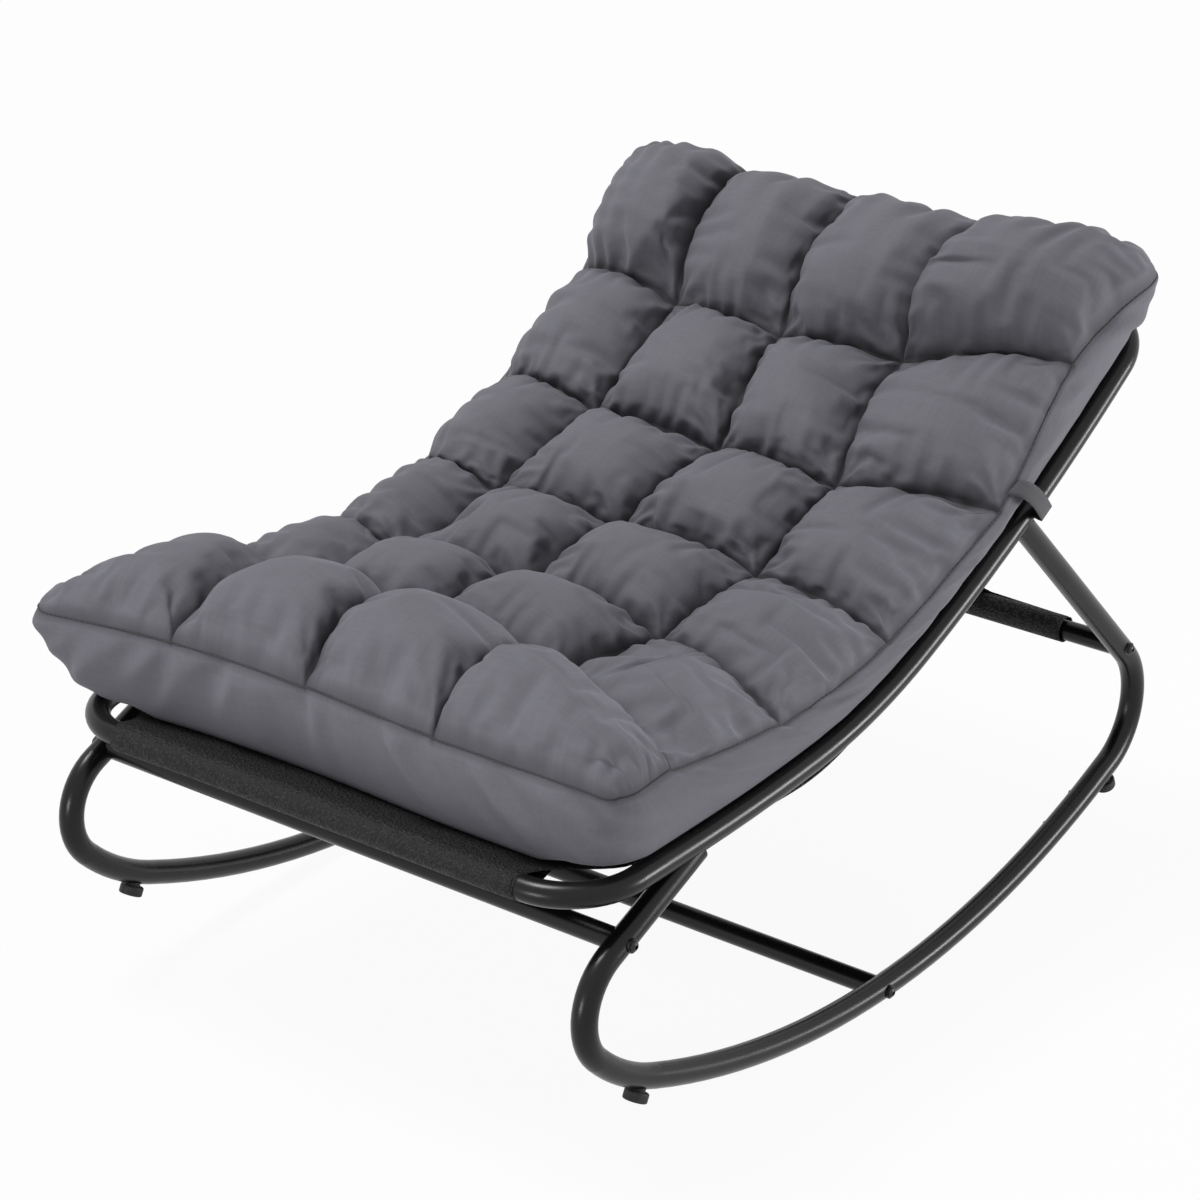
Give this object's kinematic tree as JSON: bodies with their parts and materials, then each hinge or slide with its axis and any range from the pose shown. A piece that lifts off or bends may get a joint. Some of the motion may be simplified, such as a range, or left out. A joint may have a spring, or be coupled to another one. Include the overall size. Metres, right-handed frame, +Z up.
{
  "type": "outdoor rocking lounge chair",
  "caption": "Low rocking lounge chair of bent black steel tube with looped runners, a cloth sling seat and a thick quilted grey cushion tied over it.",
  "frame": {"origin": "on the floor, at the middle of the chair's length and width", "axes": "+Z up, the seat faces -Y, +X to the side on the right of a person standing in front of it and looking at it"},
  "size_m": [0.7331, 0.9708, 0.6895],
  "materials": {
    "frame_black": "satin black powder coat on round steel tube",
    "inner_steel": "plain steel, hidden inside the tubes",
    "hardware_black": "blackened steel screws and bolts",
    "plug_black": "moulded plastic end plugs, hidden inside the bars",
    "stop_rubber": "matte black moulded rubber",
    "sling_black": "black pebble-grained coated cloth",
    "cushion_grey": "mid grey woven polyester, quilted",
    "strap_grey": "grey woven webbing"
  },
  "bodies": {
    "root": {"seat_rail_frame": "frame_black", "back_rail_frame": "frame_black", "rail_joint_spigots": "inner_steel", "left_rocker_runner": "frame_black", "right_rocker_runner": "frame_black", "left_rocker_heel": "frame_black", "right_rocker_heel": "frame_black", "rocker_joint_spigots": "inner_steel", "joint_screws": "hardware_black", "front_cross_bar": "frame_black", "floor_cross_bar": "frame_black", "rear_cross_bar": "frame_black", "bar_end_plugs": "plug_black", "saddle_washers": "hardware_black", "cross_bar_bolts": "hardware_black", "front_left_stop": "stop_rubber", "front_right_stop": "stop_rubber", "rear_left_stop": "stop_rubber", "rear_right_stop": "stop_rubber", "stop_screws": "hardware_black", "sling": "sling_black", "sling_rear_band": "sling_black", "cushion": "cushion_grey", "left_cushion_strap": "strap_grey", "right_cushion_strap": "strap_grey"}
  },
  "joints": []
}
